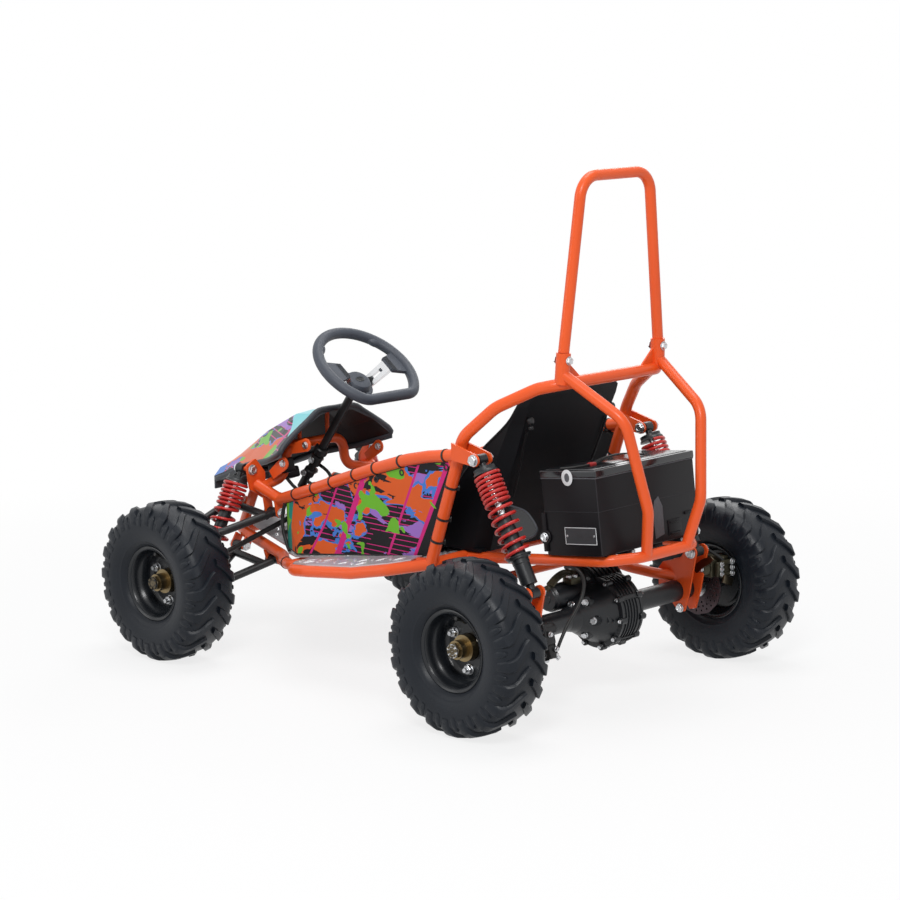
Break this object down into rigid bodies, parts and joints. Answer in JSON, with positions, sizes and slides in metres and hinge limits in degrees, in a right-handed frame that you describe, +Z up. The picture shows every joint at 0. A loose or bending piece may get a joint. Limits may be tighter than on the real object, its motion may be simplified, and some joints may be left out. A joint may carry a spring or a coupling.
{
  "type": "electric off-road buggy",
  "caption": "Single-seat electric off-road buggy with a tubular frame, roll bar, coil-spring suspension, steering wheel and lugged tyres.",
  "frame": {"origin": "middle of the overall box, on the ground", "axes": "+X forward, +Y to the driver's left, +Z up"},
  "size_m": [1.3254, 0.943, 1.1004],
  "materials": {
    "frame_paint": "gloss",
    "arm_paint": "satin",
    "rim_paint": "satin",
    "tyre": "matte",
    "hub_brass": "worn",
    "floor_alloy": "polished chequer",
    "panel_fabric": "printed",
    "nose_plastic": "printed with a matt rim",
    "seat_plastic": "matte",
    "box_plastic": "satin",
    "damper_black": "satin",
    "spring_red": "gloss",
    "housing_black": "satin",
    "brake_metal": "dull",
    "disc_steel": "stained",
    "steel_black": "satin",
    "grip_foam": "matte",
    "cable_black": "satin"
  },
  "bodies": {
    "frame": {"frame_side_left": "frame_paint", "frame_side_right": "frame_paint", "frame_floor": "frame_paint", "frame_front": "frame_paint", "rear_loops": "frame_paint", "roll_bar": "frame_paint", "floor_pan": "floor_alloy", "side_panel_left": "panel_fabric", "side_panel_right": "panel_fabric", "nose_fairing": "nose_plastic", "seat_shell": "seat_plastic", "battery_box": "box_plastic", "battery_lid": "box_plastic", "upper_arms": "arm_paint", "lower_arms": "arm_paint", "front_dampers": "damper_black", "front_springs": "spring_red", "rear_dampers": "damper_black", "rear_springs": "spring_red", "rear_swingarm": "frame_paint", "axle_housing": "housing_black", "drive_motor": "housing_black", "brake_caliper": "brake_metal", "pedals": "steel_black", "brake_cables": "cable_black"},
    "steering": {"steering_wheel": "grip_foam", "steering_column": "steel_black"},
    "knuckle_left": {"knuckle_left": "steel_black"},
    "tie_rod_left": {"tie_rod_left": "steel_black"},
    "wheel_front_left": {"tyre_front_left": "tyre", "rim_front_left": "rim_paint", "hub_front_left": "hub_brass"},
    "wheel_rear_left": {"tyre_rear_left": "tyre", "rim_rear_left": "rim_paint", "hub_rear_left": "hub_brass"},
    "knuckle_right": {"knuckle_right": "steel_black"},
    "tie_rod_right": {"tie_rod_right": "steel_black"},
    "wheel_front_right": {"tyre_front_right": "tyre", "rim_front_right": "rim_paint", "hub_front_right": "hub_brass"},
    "wheel_rear_right": {"tyre_rear_right": "tyre", "rim_rear_right": "rim_paint", "hub_rear_right": "hub_brass", "brake_disc": "disc_steel"}
  },
  "joints": [
    {"name": "steering", "type": "hinge", "parent": "frame", "child": "steering", "pos_m": [0.26193, 0, 0.6], "axis": [-0.607, 0, 0.7947], "range_deg": [-36, 36]},
    {"name": "steer_left", "type": "hinge", "parent": "frame", "child": "knuckle_left", "pos_m": [0.46693, 0.325, 0.1775], "axis": [0, 0, 1], "range_deg": [-27, 27]},
    {"name": "tie_rod_left", "type": "hinge", "parent": "knuckle_left", "child": "tie_rod_left", "pos_m": [0.40693, 0.299, 0.227], "axis": [0, 0, 1], "range_deg": [-27, 27]},
    {"name": "roll_front_left", "type": "hinge", "parent": "knuckle_left", "child": "wheel_front_left", "pos_m": [0.46693, 0.41, 0.1775], "axis": [0, 1, 0], "continuous": true},
    {"name": "steer_right", "type": "hinge", "parent": "frame", "child": "knuckle_right", "pos_m": [0.46693, -0.325, 0.1775], "axis": [0, 0, 1], "range_deg": [-27, 27]},
    {"name": "tie_rod_right", "type": "hinge", "parent": "knuckle_right", "child": "tie_rod_right", "pos_m": [0.40693, -0.299, 0.227], "axis": [0, 0, 1], "range_deg": [-27, 27]},
    {"name": "roll_front_right", "type": "hinge", "parent": "knuckle_right", "child": "wheel_front_right", "pos_m": [0.46693, -0.41, 0.1775], "axis": [0, 1, 0], "continuous": true},
    {"name": "roll_rear_left", "type": "hinge", "parent": "frame", "child": "wheel_rear_left", "pos_m": [-0.45807, 0.41, 0.1775], "axis": [0, 1, 0], "continuous": true},
    {"name": "roll_rear_right", "type": "hinge", "parent": "frame", "child": "wheel_rear_right", "pos_m": [-0.45807, -0.41, 0.1775], "axis": [0, 1, 0], "continuous": true}
  ],
  "couplings": [
    {"joint": "steer_left", "follows": "steering", "ratio": 0.75},
    {"joint": "tie_rod_left", "follows": "steering", "ratio": -0.75},
    {"joint": "steer_right", "follows": "steering", "ratio": 0.75},
    {"joint": "tie_rod_right", "follows": "steering", "ratio": -0.75}
  ]
}
